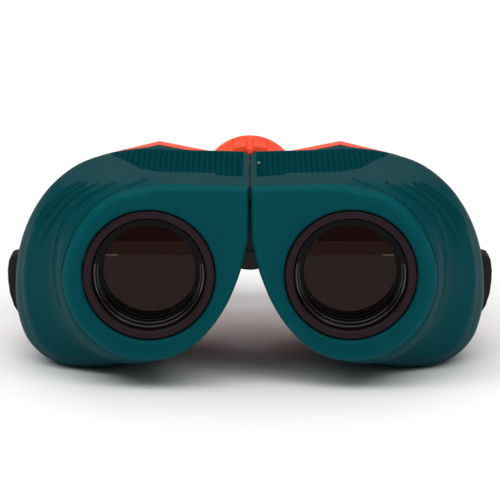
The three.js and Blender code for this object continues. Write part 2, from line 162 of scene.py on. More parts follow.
# ------------------------------------------------------------------ mesh helpers
def obj(name, verts, faces, material, body, replaces=(), smooth=None, mm=True):
    me = bpy.data.meshes.new(name)
    v = T(verts) if mm else np.asarray(verts)
    me.from_pydata([tuple(map(float, p)) for p in v], [], [tuple(map(int, f)) for f in faces])
    me.update()
    o = bpy.data.objects.new(name, me)
    COL.objects.link(o)
    return done(o, material, body, replaces, smooth)


def done(o, material, body, replaces=(), smooth=30):
    me = o.data
    bm = bmesh.new()
    bm.from_mesh(me)
    bmesh.ops.recalc_face_normals(bm, faces=bm.faces)
    bm.to_mesh(me)
    bm.free()
    if smooth:
        me.shade_smooth()
        me.set_sharp_from_angle(angle=math.radians(smooth))
    me.materials.clear()
    me.materials.append(material)
    if body:
        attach(o, body)
        if replaces:
            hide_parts(*replaces)
    return o


def grid_faces(m, n, closed=True, base=0):
    f = []
    for j in range(m - 1):
        for i in range(n if closed else n - 1):
            a, b = base + j * n + i, base + j * n + (i + 1) % n
            f.append((a, b, b + n, a + n))
    return f


def lathe_data(prof, cx, cz, seg=96, rfun=None):
    """prof: closed or axis-to-axis list of (r, y)."""
    prof = list(prof)
    closed = prof[0] == prof[-1]
    if closed:
        prof = prof[:-1]
    V, F = [], []
    idx = []
    for r, y in prof:
        if r < 1e-6:
            idx.append([len(V)])
            V.append((cx, y, cz))
        else:
            row = []
            for k in range(seg):
                a = 2 * math.pi * k / seg
                rr = rfun(r, y, a) if rfun else r
                row.append(len(V))
                V.append((cx + rr * math.cos(a), y, cz + rr * math.sin(a)))
            idx.append(row)
    pairs = list(zip(idx, idx[1:])) + ([(idx[-1], idx[0])] if closed else [])
    for A, B in pairs:
        for k in range(seg):
            k2 = (k + 1) % seg
            if len(A) == 1 and len(B) == 1:
                break
            if len(A) == 1:
                F.append((A[0], B[k], B[k2]))
            elif len(B) == 1:
                F.append((A[k], A[k2], B[0]))
            else:
                F.append((A[k], A[k2], B[k2], B[k]))
    return V, F


def lathe(name, prof, cx, cz, material, body, replaces=(), seg=96, smooth=35, rfun=None):
    V, F = lathe_data(prof, cx, cz, seg, rfun)
    return obj(name, V, F, material, body, replaces, smooth)


def arc(cx, cy, r, a0, a1, n=6):
    return [(cx + r * math.cos(math.radians(a0 + (a1 - a0) * i / n)),
             cy + r * math.sin(math.radians(a0 + (a1 - a0) * i / n))) for i in range(n + 1)]


def raw(name, V, F):
    """An unlinked-from-the-part helper mesh, in mm, for boolean work."""
    me = bpy.data.meshes.new(name)
    me.from_pydata([tuple(map(float, p)) for p in V], [], [tuple(map(int, f)) for f in F])
    bm = bmesh.new()
    bm.from_mesh(me)
    bmesh.ops.remove_doubles(bm, verts=bm.verts, dist=1e-5)
    bmesh.ops.recalc_face_normals(bm, faces=bm.faces)
    bm.to_mesh(me)
    bm.free()
    o = bpy.data.objects.new(name, me)
    COL.objects.link(o)
    return o


def boxraw(x0, x1, y0, y1, z0, z1):
    x0, x1 = sorted((x0, x1))
    V = [(x, y, z) for x in (x0, x1) for y in (y0, y1) for z in (z0, z1)]
    F = [(0, 1, 3, 2), (4, 6, 7, 5), (0, 4, 5, 1), (2, 3, 7, 6), (0, 2, 6, 4), (1, 5, 7, 3)]
    return raw("b", V, F)


def cylraw(r, y0, y1, cx, cz, seg=96):
    V, F = lathe_data([(0, y0), (r, y0), (r, y1), (0, y1)], cx, cz, seg)
    return raw("c", V, F)


def carve(o, *cuts, op="DIFFERENCE"):
    for c in cuts:
        md = o.modifiers.new("cut", "BOOLEAN")
        md.operation = op
        md.solver = "MANIFOLD"
        md.object = c
        dg = bpy.context.evaluated_depsgraph_get()
        me = bpy.data.meshes.new_from_object(o.evaluated_get(dg))
        o.modifiers.clear()
        old = o.data
        o.data = me
        bpy.data.meshes.remove(old)
    for c in cuts:
        bpy.data.objects.remove(c)
    return o


def verts_of(o):
    a = np.empty(len(o.data.vertices) * 3)
    o.data.vertices.foreach_get("co", a)
    return a.reshape(-1, 3)


def place(o, name, side):
    """Turn a helper mesh in mm, made for side +1, into a piece of that side, in metres."""
    me = o.data.copy()
    me.name = name
    v = verts_of(o) * (side, 1, 1)
    me.vertices.foreach_set("co", T(v).ravel())
    if side < 0:
        me.flip_normals()
    me.update()
    n = bpy.data.objects.new(name, me)
    COL.objects.link(n)
    return n


# ------------------------------------------------------------------ body section family
SEC = [
    (2, [[.2, 20.0], [5, 20.3], [10.5, 20.5], [16, 20.5], [22.2, 20.1], [28.4, 18.7], [33.3, 16], [37.6, 11.1], [40.6, 4.4], [41.6, -1.3], [40.3, -7.3], [37.3, -12.6], [32.8, -16.8], [27.5, -19.3], [22.5, -19.9], [17.5, -19], [13, -16.7], [8.7, -12.4], [5.2, -7], [2.7, -1.1], [1.4, 3.3], [.35, 8]]),
    (9, [[.2, 20.3], [5, 20.6], [10.8, 20.8], [16.5, 20.9], [23.2, 20.8], [29.8, 20.0], [35.2, 17.8], [39.8, 13.2], [43.0, 6.2], [44.3, -.6], [43.6, -7.6], [41.2, -14], [37.2, -18.8], [31.8, -21.8], [26.4, -22.6], [20.5, -21.8], [15.2, -19.4], [10.3, -14.6], [6.2, -8], [3.1, -1.3], [1.5, 3.2], [.35, 8]]),
    (25, [[.2, 20.4], [5.5, 20.8], [11.5, 21.0], [18, 21.2], [25, 21.6], [31, 21.9], [36.4, 21.2], [41.7, 18.5], [47.0, 13.3], [51.0, 6.4], [53.3, -1.2], [53.9, -9], [53.3, -15.5], [51, -21.8], [46.5, -26], [41, -27.7], [33, -27.7], [24, -25.6], [15, -21.6], [8.3, -12.8], [3.3, -2], [.35, 8]]),
    (41, [[.2, 20.4], [5.5, 20.6], [11.5, 20.7], [17, 20.9], [23.5, 21.2], [30, 20.7], [36.0, 19.2], [41.6, 16.2], [46.9, 11.3], [50.9, 5.0], [53.2, -2.2], [54.0, -9.5], [53.2, -15.5], [50.8, -21.4], [46.5, -25.8], [41, -27.7], [33, -27.7], [24, -25.4], [15.5, -20.6], [9, -12.8], [4, -2], [.35, 8]]),
    (52, [[.2, 17.2], [5.5, 17.5], [11, 18.0], [16.5, 19.25], [21.7, 20.3], [28.2, 18.75], [35.2, 16.8], [41.2, 14], [46.6, 9.4], [50.5, 3], [52.2, -4], [52.3, -10], [51.2, -15.5], [48.6, -20.5], [44.6, -24.4], [39.6, -26.2], [32.5, -26.2], [24.5, -23.6], [17.5, -18], [12, -11], [8, -2], [6, 8]]),
]
SY = np.array([s[0] for s in SEC], float)
SP = np.array([s[1] for s in SEC], float)


def smooth01(x):
    x = np.clip(x, 0, 1)
    return x * x * (3 - 2 * x)


def cr(a, b, c, d, t):
    return .5 * ((2 * b) + (-a + c) * t + (2 * a - 5 * b + 4 * c - d) * t * t + (-a + 3 * b - 3 * c + d) * t ** 3)


def control(y):
    y = min(max(y, 2), 52)
    k = min(max(int(np.searchsorted(SY, y, side="right")) - 1, 0), len(SY) - 2)
    t = (y - SY[k]) / (SY[k + 1] - SY[k])
    p = cr(SP[max(0, k - 1)], SP[k], SP[k + 1], SP[min(len(SY) - 1, k + 2)], t)
    p[:, 1] = np.maximum(p[:, 1], FLOOR)
    return p


def ring(y, S):
    """Section at depth y at parameters S in 0..22; 21..22 closes along the seam."""
    P = control(y)
    i = np.minimum(S.astype(int), 20)
    t = np.minimum(S, 21.0) - i
    q = cr(P[np.maximum(i - 1, 0)], P[i], P[i + 1], P[np.minimum(i + 2, 21)], t[:, None])
    q[:, 0] = np.maximum(q[:, 0], .2)
    q[:, 1] = np.maximum(q[:, 1], FLOOR)
    if y > 45:  # the rear edge rises to a crisp ridge
        roof = 20.05 - np.where(q[:, 0] < 21.8, .198, .243) * np.abs(q[:, 0] - 21.8)
        low = np.minimum(q[:, 1], roof)
        k = min(1, (y - 45) / 6.5) * smooth01((q[:, 0] - 8) / 3) * smooth01((37 - q[:, 0]) / 3) * (q[:, 1] > 10)
        q[:, 1] += (low - q[:, 1]) * k
    w = np.clip(S - 21, 0, 1)[:, None]
    return q * (1 - w) + P[0] * w


def inset(q, d):
    a, b, c = np.roll(q, 1, 0), q, np.roll(q, -1, 0)
    e1, e2 = b - a, c - b
    n1 = np.stack([e1[:, 1], -e1[:, 0]], 1) / (np.linalg.norm(e1, axis=1, keepdims=True) + 1e-9)
    n2 = np.stack([e2[:, 1], -e2[:, 0]], 1) / (np.linalg.norm(e2, axis=1, keepdims=True) + 1e-9)
    k = d / np.maximum(.35, 1 + (n1 * n2).sum(1))
    return b + (n1 + n2) * k[:, None]


# fine sampling round the section: even steps of u across the ribbed top, even arc length elsewhere
def samples(coarse=1.):
    Sd = np.linspace(0, 21, 4201)
    q = ring(25, Sd)
    du = .2117 * coarse
    top = np.interp(np.arange(.2, 34.2, du), q[:, 0][:1200], Sd[:1200])
    top = top[top < 5.6]
    L = np.concatenate([[0], np.cumsum(np.linalg.norm(np.diff(q, axis=0), axis=1))])
    s0 = top[-1]

    def span(a, b, step):
        la, lb = np.interp([a, b], Sd, L)
        n = max(2, int((lb - la) / step))
        return np.interp(np.linspace(la, lb, n + 1)[1:], L, Sd)
    return np.concatenate([top, span(s0, 14, .34 * coarse), span(14, 21, .8 * coarse), np.linspace(21, 22, int(14 / coarse) + 2)[1:-1]])


# grooves over the outer flank, in (section parameter, depth)
GROOVES = [
    dict(w=.36, d=.34, p=[(.15, 2.55), (1, 2.55), (2, 2.6), (3, 2.8), (3.6, 3.1), (4.0, 3.4), (4.4, 3.8)]),
    dict(w=.50, d=.85, p=[(4.10, 7.2), (4.18, 6.4), (4.6, 4.4), (5.06, 3.3), (6.0, 3.1), (6.74, 3.5), (7.38, 3.4), (8.12, 3.2), (9.08, 3.1), (10, 3.1), (11, 3.1), (12, 3.1), (12.9, 3.2), (13.6, 3.6), (14.4, 4.4)]),
    dict(w=.52, d=.85, p=[(5.24, 8.2), (5.32, 7.9), (5.76, 7.6), (6.2, 7.9), (6.84, 9.0), (7.5, 10.6), (8.12, 10.9), (8.72, 10.4), (9.36, 9.5), (10.12, 8.7), (10.88, 8.0)]),
    dict(w=.52, d=.82, p=[(5.86, 10.7), (5.94, 10.9), (6.34, 11.6), (6.76, 12.6), (7.56, 14.9), (8.28, 16.3), (8.92, 17.2), (9.38, 17.4)]),
    dict(w=.52, d=.80, p=[(6.34, 14.3), (6.42, 14.6), (6.8, 15.5), (7.18, 16.2), (7.96, 18.2), (8.56, 19.2), (9.06, 19.6)]),
    dict(w=.50, d=.74, p=[(6.64, 16.5), (6.72, 16.8), (7.08, 17.8), (7.4, 18.5), (8.08, 20.0), (8.64, 21.1), (9.12, 21.6)]),
]
PANEL = [(1.5, 11.3), (7.4, 11.3), (8.0, 13.6), (20.3, 13.6), (25, 16.6), (28.6, 23.1), (31.2, 27.5), (32.4, 33), (32.6, 40.3), (1.5, 40.3)]

# smooth facet between the panel, the rim and the upper ends of the grooves, in plan; the painted sheen is laid on its
# up-facing parts
SMOOTH_SHEEN_PLAN = [(-1, 2.3), (20, 2.5), (24, 5.6), (31, 7.6), (35, 10.1), (38.6, 13.8), (40.6, 16.2), (43.5, 22), (45, 30), (44, 42), (-1, 42)]


def seg_dist(P, poly, closed=True):
    d = np.full(len(P), 1e9)
    n = len(poly)
    for i in range(n if closed else n - 1):
        a, b = np.array(poly[i], float), np.array(poly[(i + 1) % n], float)
        ab = b - a
        t = np.clip(((P - a) @ ab) / (ab @ ab), 0, 1)
        d = np.minimum(d, np.linalg.norm(P - a - t[:, None] * ab, axis=1))
    return d


def inside(P, poly):
    c = np.zeros(len(P), bool)
    n = len(poly)
    for i in range(n):
        (x1, y1), (x2, y2) = poly[i], poly[(i + 1) % n]
        m = (y1 > P[:, 1]) != (y2 > P[:, 1])
        with np.errstate(divide="ignore", invalid="ignore"):
            xi = (x2 - x1) * (P[:, 1] - y1) / (y2 - y1) + x1
        c ^= m & (P[:, 0] < xi)
    return c


def skin(S, Y):
    """The detailed outer surface of the rubber as a grid (len(Y), len(S), 3), in mm, for side +1."""
    G = np.array([np.column_stack([r[:, 0], np.full(len(S), y), r[:, 1]]) for y in Y for r in [ring(y, S)]])
    ds = np.gradient(G, axis=1)
    dy = np.gradient(G, axis=0)
    N = np.cross(ds, dy)
    N /= np.linalg.norm(N, axis=-1, keepdims=True) + 1e-9
    if N[len(Y) // 2, 20, 2] < 0:
        N = -N
    P = G.reshape(-1, 3)
    SS = np.tile(S, len(Y))
    YY = P[:, 1].copy()
    h = np.zeros(len(P))
    # soft forms: hollow flank band, rolled outer lip, thin raised edge behind the rim
    win = smooth01((SS - 7.2) / 1.6) * smooth01((14.2 - SS) / 1.4)
    h -= .75 * win * np.exp(-((YY - 13.6) / 3.4) ** 2)
    h += .55 * win * np.exp(-((YY - 20.8) / 1.7) ** 2)
    h += .45 * smooth01((SS - 7.0) / 1.5) * smooth01((13.4 - SS) / 1.4) * np.exp(-((YY - 6.2) / 1.7) ** 2)
    # grooves
    for g in GROOVES:
        p = np.array(g["p"])
        t = np.linspace(0, len(p) - 1, 160)
        k = np.minimum(t.astype(int), len(p) - 2)
        f = (t - k)[:, None]
        c = cr(p[np.maximum(k - 1, 0)], p[k], p[k + 1], p[np.minimum(k + 2, len(p) - 1)], f)
        line = np.array([[*ring(yy, np.array([ss]))[0], yy] for ss, yy in c])[:, [0, 2, 1]]
        fade = smooth01((1 - t / t[-1]) / .3)
        near = (SS > c[:, 0].min() - .8) & (SS < c[:, 0].max() + .8) & (YY < c[:, 1].max() + 4)
        ix = np.nonzero(near)[0]
        for a in range(0, len(ix), 6000):
            j = ix[a:a + 6000]
            D = np.linalg.norm(P[j][:, None, :] - line[None], axis=2)
            m = D.argmin(1)
            d = D[np.arange(len(j)), m]
            h[j] -= g["d"] * fade[m] * np.exp(-(d / g["w"]) ** 4)
            h[j] += .32 * fade[m] * np.exp(-((d - 1.2) / .42) ** 2)
    # ribbed panel across the top
    top = (SS < 5.7) & (P[:, 2] > 14)
    ix = np.nonzero(top)[0]
    Q = np.column_stack([P[ix, 0], YY[ix]])
    sd = seg_dist(Q, PANEL) * np.where(inside(Q, PANEL), 1, -1)
    rec = smooth01(sd / .5)
    pu, pv = 1.27, 2.9
    fu = np.abs(((Q[:, 0] - 1.5) / pu) % 1 - .5) * 2
    fv = np.abs(((Q[:, 1] - 11.3) / pv) % 1 - .5) * 2
    bump = smooth01((1 - fu) / .42) * smooth01((1 - fv) / .3)
    edge = smooth01((sd - .5) / .5)
    h[ix] += rec * (-.42 + .40 * bump * edge)
    P = P + N.reshape(-1, 3) * h[:, None]
    P[:, 2] = np.clip(P[:, 2], FLOOR, 21.89)
    # rear corners of the seam are eased
    lim = .2 + .9 * smooth01((YY - 33) / 8) * (P[:, 2] > 15)
    P[:, 0] = np.maximum(P[:, 0], np.where(SS <= 21.9, lim, .2))
    return P.reshape(len(Y), len(S), 3)


def bay_cutters():
    return [cylraw(12.2, 42, 72, 0, AXZ), boxraw(-4, 9.8, 42, 72, 0, 40)]


def build_armor():
    q = 1.
    S = samples(q)
    Y = np.unique(np.concatenate([np.arange(2, 24, .27 * q), np.arange(24, 42, .4 * q), np.arange(42, 51.2, .8 * q), [51.2, 51.7, 52.0]]))
    G = skin(S, Y)
    n = len(S)
    last = G[-1].copy()
    ce = np.array([26., 52, -3])
    lastin = last + (ce - last) / np.linalg.norm(ce - last, axis=1, keepdims=True) * .35
    lastin[:, 1] = 52.0
    G[-1] = G[-1]
    G[-1][:, 1] = 51.75
    rows = [lastin] + list(G[::-1])  # from the rear to the rim
    # rim and front face: rounded outline, then in to the objective opening
    P0 = G[0]
    C = np.array([OBJ_U, 2, 0.])
    dirn = C - P0
    L = np.linalg.norm(dirn, axis=1)
    dirn /= L[:, None]
    Lm = L - 14.0
    R = np.minimum(1.7, Lm * .45)
    for a in (8, 18, 30, 43, 57, 70, 81, 90):
        a = math.radians(a)
        d = R * (1 - math.cos(a))
        r = P0 + dirn * d[:, None]
        r[:, 1] = 2 - 1.86 * math.sin(a)
        rows.append(r)
    for t in (.1, .22, .36, .5, .64, .78, .9, 1.0):
        d = R + (Lm - R) * t
        r = P0 + dirn * d[:, None]
        r[:, 1] = .14 - .12 * math.sin(min(1, t * 1.0) * math.pi / 2)
        rows.append(r)
    V = np.concatenate(rows)
    F = grid_faces(len(rows), n)
    V = np.vstack([V, [[26., 52.0, -3]], [[OBJ_U, .02, 0]]])
    c0, c1 = len(V) - 2, len(V) - 1
    b = (len(rows) - 1) * n
    for i in range(n):
        j = (i + 1) % n
        F.append((c0, j, i))
        F.append((c1, b + i, b + j))
    o = raw("armor", V, F)
    # inside
    S2 = samples(3.0)
    Y2 = [1.8, 3, 5, 8, 12, 17, 25, 33, 41, 47, 53]
    rr = [inset(ring(y, S2), 2.0) for y in Y2]
    V = np.concatenate([np.column_stack([r[:, 0], np.full(len(S2), y), r[:, 1]]) for r, y in zip(rr, Y2)])
    F = grid_faces(len(Y2), len(S2))
    V = np.vstack([V, [[26, 1.8, -3]], [[26, 53, -3]]])
    for i in range(len(S2)):
        j = (i + 1) % len(S2)
        F.append((len(V) - 2, j, i))
        F.append((len(V) - 1, (len(Y2) - 1) * len(S2) + i, (len(Y2) - 1) * len(S2) + j))
    under = raw("under", V, F)
    lip = [(0, -1), (15.95, -1), (15.95, -.02)] + arc(15.85, .85, .85, 270, 180, 8)[1:] + [(15.0, 6), (0, 6)]
    V, F = lathe_data(lip, OBJ_U, 0, 160)
    opening = raw("open", V, F)
    pocket = boxraw(49.6, 60, 30.5, 45.5, -17.6, -2.8)
    carve(o, under, cylraw(8.6, 3.2, 44, 0, AXZ), *bay_cutters(), pocket, opening)
    return o


arm = build_armor()
for side, k in SIDES:
    o = place(arm, side + "_armor", k)
    done(o, M["teal"], side + "_half", [side + "_rubber_armor"], 38)
    me = o.data
    # faces inside the ribbed panel take its darker copy, painted shade
    me.materials.append(M["panel"])
    n = len(me.polygons)
    ct = np.empty(n * 3)
    me.polygons.foreach_get("center", ct)
    ct = ct.reshape(-1, 3) * 1000
    Q = np.column_stack([np.abs(ct[:, 0]), ct[:, 1] + LEN2])
    up = (ct[:, 2] + FLOOR > 14) & (Q[:, 1] < 42) & (Q[:, 0] > 1.0)
    me.polygons.foreach_set("material_index", (up & inside(Q, PANEL)).astype(np.int32))
    n = len(me.vertices)
    v, nm = np.empty(n * 3), np.empty(n * 3)
    me.vertices.foreach_get("co", v)
    me.vertices.foreach_get("normal", nm)
    v, nm = v.reshape(-1, 3) * 1000, nm.reshape(-1, 3)
    Q = np.column_stack([np.abs(v[:, 0]), v[:, 1] + LEN2])
    z = v[:, 2] + FLOOR
    # painted sheen: lighter, greyer teal on the up-facing parts of the smooth facet, where light would glance off the
    # rubber
    sd = seg_dist(Q, SMOOTH_SHEEN_PLAN) * np.where(inside(Q, SMOOTH_SHEEN_PLAN), 1, -1)
    painted_sheen_wt = smooth01((sd + .5) / 1.3) * smooth01((nm[:, 2] - .2) / .25) * smooth01((z - 9) / 3)
    # painted highlight: brighter teal along the rounded front rim, where the light catches it
    painted_rim_highlight_wt = smooth01((2.15 - Q[:, 1]) / .4) * smooth01((Q[:, 1] - .03) / .3) * (np.hypot(Q[:, 0] - OBJ_U, z) > 16.3)
    col = TEAL[0] + (TEAL[1] - TEAL[0]) * painted_sheen_wt[:, None]
    col = col + (TEAL[2] - col) * painted_rim_highlight_wt[:, None]
    tint = me.color_attributes.new("tint", "FLOAT_COLOR", "POINT")
    tint.data.foreach_set("color", np.column_stack([col, np.ones(n)]).ravel())
bpy.data.objects.remove(arm)


# ------------------------------------------------------------------ orange rear cover
def build_cover():
    S = samples(2.0)
    rows = []
    prof = [(52.3, -.02), (52.5, -.24), (52.9, -.34), (54.6, -.34), (55.5, -.2), (56.2, .1), (56.7, .6), (56.95, 1.2), (57.0, 1.9), (57.0, 2.4)]
    base = ring(52, S)
    mid = np.array([26.0, -3.0])
    for y, d in prof:
        r = inset(base, min(d, .1) + .02)
        if d > .1:
            v = mid - r
            r = r + v / np.linalg.norm(v, axis=1)[:, None] * (d - .1)
        rows.append(np.column_stack([r[:, 0], np.full(len(S), y), r[:, 1]]))
    n = len(S)
    V = np.concatenate(rows)
    F = grid_faces(len(rows), n)
    V = np.vstack([V, [[26, 52.3, -3]], [[26, 57.0, -3]]])
    b = (len(rows) - 1) * n
    for i in range(n):
        j = (i + 1) % n
        F.append((len(V) - 2, j, i))
        F.append((len(V) - 1, b + i, b + j))
    o = raw("cover", V, F)
    collar = raw("col", *lathe_data([(10.0, 54), (12.4, 54), (12.4, 56.7), (12.1, 56.99), (10.3, 56.99), (10.0, 56.7), (10.0, 54)], EYE_U, EYE_Z, 96))
    carve(o, collar, op="UNION")
    cuts = bay_cutters() + [cylraw(9.95, 50, 60, EYE_U, EYE_Z)]
    for u, z in ((18.5, 11.8), (46.2, -1)):
        cuts += [cylraw(1.4, 50, 60, u, z, 32), cylraw(2.6, 55.2, 60, u, z, 40)]
    carve(o, *cuts)
    return o


cov = build_cover()
for side, k in SIDES:
    o = place(cov, side + "_cover", k)
    done(o, M["orange"], side + "_half", [side + "_rear_cover"], 40)
bpy.data.objects.remove(cov)

# ------------------------------------------------------------------ objectives
for side, k in SIDES:
    ox = k * OBJ_U
    B = side + "_half"
    lathe(side + "_bezel", [(14.82, 2.6), (14.82, 1.35)] + arc(14.22, 1.2, .6, 0, -80, 8) + [(13.75, .6), (13.3, .66), (13.02, .8), (12.86, 1.05), (12.8, 1.5), (12.8, 2.6), (14.82, 2.6)],
          ox, 0, M["ring"], B, [side + "_objective_bezel"], 128, 50)
    lathe(side + "_retainer", [(12.5, 1.9), (12.5, 6.1), (10.4, 6.1), (10.4, 5.75)] + arc(10.72, 5.62, .16, 150, 240, 4) + [(10.95, 5.5), (11.0, 5.0)] + arc(11.2, 4.72, .16, 170, 270, 4) + [(11.42, 4.5), (11.46, 3.9)] + arc(11.66, 3.62, .16, 170, 270, 4) + [(11.9, 3.4), (11.95, 2.5)] + arc(12.14, 2.22, .16, 170, 270, 4) + [(12.3, 2.0), (12.5, 1.9)],
          ox, 0, M["well"], B, [side + "_objective_retainer"], 128, 40)
    # the lower arcs of the retainer fillets take the lighter, glossier copy of the well finish: partly real reflection
    # of the lamps, partly a painted highlight
    rt = bpy.data.objects[side + "_retainer"].data
    rt.materials.append(M["edge"])
    for f in rt.polygons:
        y = f.center[1] * 1000 + LEN2
        f.material_index = int((2.03 < y < 2.42 or 3.44 < y < 3.8) and f.center[2] * 1000 + FLOOR < 2.5)
    lathe(side + "_barrel", [(12.9, 2.9), (15.0, 2.9), (15.0, 5.5), (13.6, 5.5), (13.6, 15), (11.2, 15), (11.2, 10), (12.9, 10), (12.9, 2.9)],
          ox, 0, M["well"], B, [side + "_objective_barrel"], 96, 30)
    # lens: front radius fairly flat, ground edge
    front = [(12.4 * t, 4.75 + 1.2 * t * t) for t in np.linspace(0, 1, 12)]
    back = [(12.4 * t, 9.0 + .6 * t * t) for t in np.linspace(1, 0, 8)]
    front = [(r, min(y, 6.1) if r < 10.45 else max(y, 6.05)) for r, y in front]
    lathe(side + "_lens", front + back, ox, 0, M["glass"], B, [side + "_objective_lens"], 96, 40)
    # prism face behind the objective with its straight upper edge, the roof of the next prism above it, and a dark
    # sheet above them that stands in for the shade there (painted shade); all three glow with a fixed tone
    R = 11.0

    def segment(name, z0, z1, ya, yb, material):
        pts = []
        for a in np.linspace(-math.pi / 2, 3 * math.pi / 2, 240, endpoint=False):
            pts.append((R * math.cos(a), min(max(R * math.sin(a), z0), z1)))
        keep = [q for i, q in enumerate(pts) if math.hypot(q[0] - pts[i - 1][0], q[1] - pts[i - 1][1]) > .02 and (z0 < q[1] < z1 or abs(abs(q[0]) - math.sqrt(max(0, R * R - q[1] ** 2))) < .35)]
        m = len(keep)
        V = [(ox + x, y, z) for y in (ya, yb) for x, z in keep]
        F = [tuple(range(m)), tuple(range(2 * m - 1, m - 1, -1))] + [(i, (i + 1) % m, m + (i + 1) % m, m + i) for i in range(m)]
        obj(name, V, F, material, B, (), 30)

    segment(side + "_prism_face", -20, 1.9, 12.2, 13.0, M["prism"])
    segment(side + "_prism_roof", 1.9, 4.9, 13.1, 13.9, M["prism_band"])
    segment(side + "_prism_mask", 4.9, 20, 14.0, 14.7, M["prism_up"])

# ------------------------------------------------------------------ focus wheel and hinge
NT = 14


def wheel_r(r, y, a):
    ph = ((a - math.pi / 2) / (2 * math.pi) * NT) % 1
    d = min(ph, 1 - ph)
    dip = float(smooth01(np.array((.21 - d) / .09)))
    return r - .8 * dip * float(smooth01(np.array((64.9 - y) / .8))) if r > 9.4 else r


prof = ([(6.3, 56.3), (6.6, 55.9), (9.6, 55.9), (9.9, 55.5)] + arc(10.7, 56.5, 1.0, -90, 0, 6) + [(11.7, y) for y in (59, 62, 64, 64.2, 64.4, 64.6, 64.8, 65.0)]
        + arc(11.0, 65.9, .7, 0, 90, 6) + [(9.9, 66.6), (9.6, 66.2), (6.6, 66.2), (6.3, 65.8), (6.3, 56.3)])
lathe("wheel", prof, 0, AXZ, M["wheel"], "focus_wheel", ["focus_wheel"], 14 * 16, 40, wheel_r)
lathe("hinge_cap", [(0, 3.55), (2.4, 3.55), (2.6, 3.75), (3.0, 3.75), (3.2, 3.5), (6.4, 3.5), (7.1, 3.7), (7.5, 4.2), (7.6, 4.8), (7.6, 5.4), (0, 5.4)], 0, AXZ,
      M["hinge"], "left_half", ["hinge_front_cap"], 96, 35)

# ------------------------------------------------------------------ eyepieces
for side, k in SIDES:
    ex = k * EYE_U
    E = side + "_eyepiece"
    cup = [(10.7, 83.0), (12.3, 83.0), (12.65, 83.3)]
    for i in range(4):
        y0 = 84.0 + i * 1.15
        r0 = 12.9 + i * .32
        cup += [(r0 - .35, y0), (r0, y0 + .3), (r0 + .05, y0 + .7), (r0 - .25, y0 + 1.0)]
    cup += [(14.0, 89.2), (14.35, 90.6), (14.75, 92.3)] + arc(14.3, 93.25, .72, 10, 170, 8) + [(13.1, 92.6), (11.9, 91.2), (11.2, 90.0), (10.7, 89.2), (10.7, 83.0)]
    lathe(side + "_cup", cup, ex, EYE_Z, M["eyecup"], E, [side + "_eyecup"], 96, 42)
if True:
    def knurl(r, y, a):
        ph = (a / (2 * math.pi) * 48) % 1
        return r - (.32 if r > 13.0 else 0) * float(smooth01(np.array(1 - min(ph, 1 - ph) / .28)))
    lathe("diopter_ring", [(11.3, 78.2), (12.7, 78.2), (13.05, 78.5), (13.4, 78.9), (13.4, 81.4), (13.05, 81.8), (12.7, 82.1), (11.3, 82.1), (11.3, 78.2)], -EYE_U, EYE_Z, M["black"],
          "right_diopter_ring", ["right_diopter_ring"], 48 * 8, 40, knurl)
    lathe("eyepiece_collar", [(11.3, 78.2), (12.5, 78.2), (12.9, 78.4), (13.0, 78.8), (13.0, 81.5), (12.9, 81.9), (12.5, 82.1), (11.3, 82.1), (11.3, 78.2)], EYE_U, EYE_Z, M["black"],
          "left_eyepiece", ["left_eyepiece_collar"], 96, 40)


# eyepiece tubes, each with its bridge arm, and the lens cells and lenses inside
def rounded_plate(pts, y0, y1, r=.45):
    """Closed plate in the (x, z) plane from y0 to y1 with its long edges eased."""
    P = np.array(pts, float)
    c = P.mean(0)
    rows = []
    for d, y in ((r, y0), (r * .3, y0 + r * .3), (0, y0 + r), (0, y1 - r), (r * .3, y1 - r * .3), (r, y1)):
        q = inset(P, d)
        rows.append([(x, y, z) for x, z in q])
    n = len(P)
    V = [v for row in rows for v in row]
    F = grid_faces(len(rows), n) + [tuple(range(n)), tuple(range((len(rows) - 1) * n, len(rows) * n))[::-1]]
    return raw("plate", V, F)


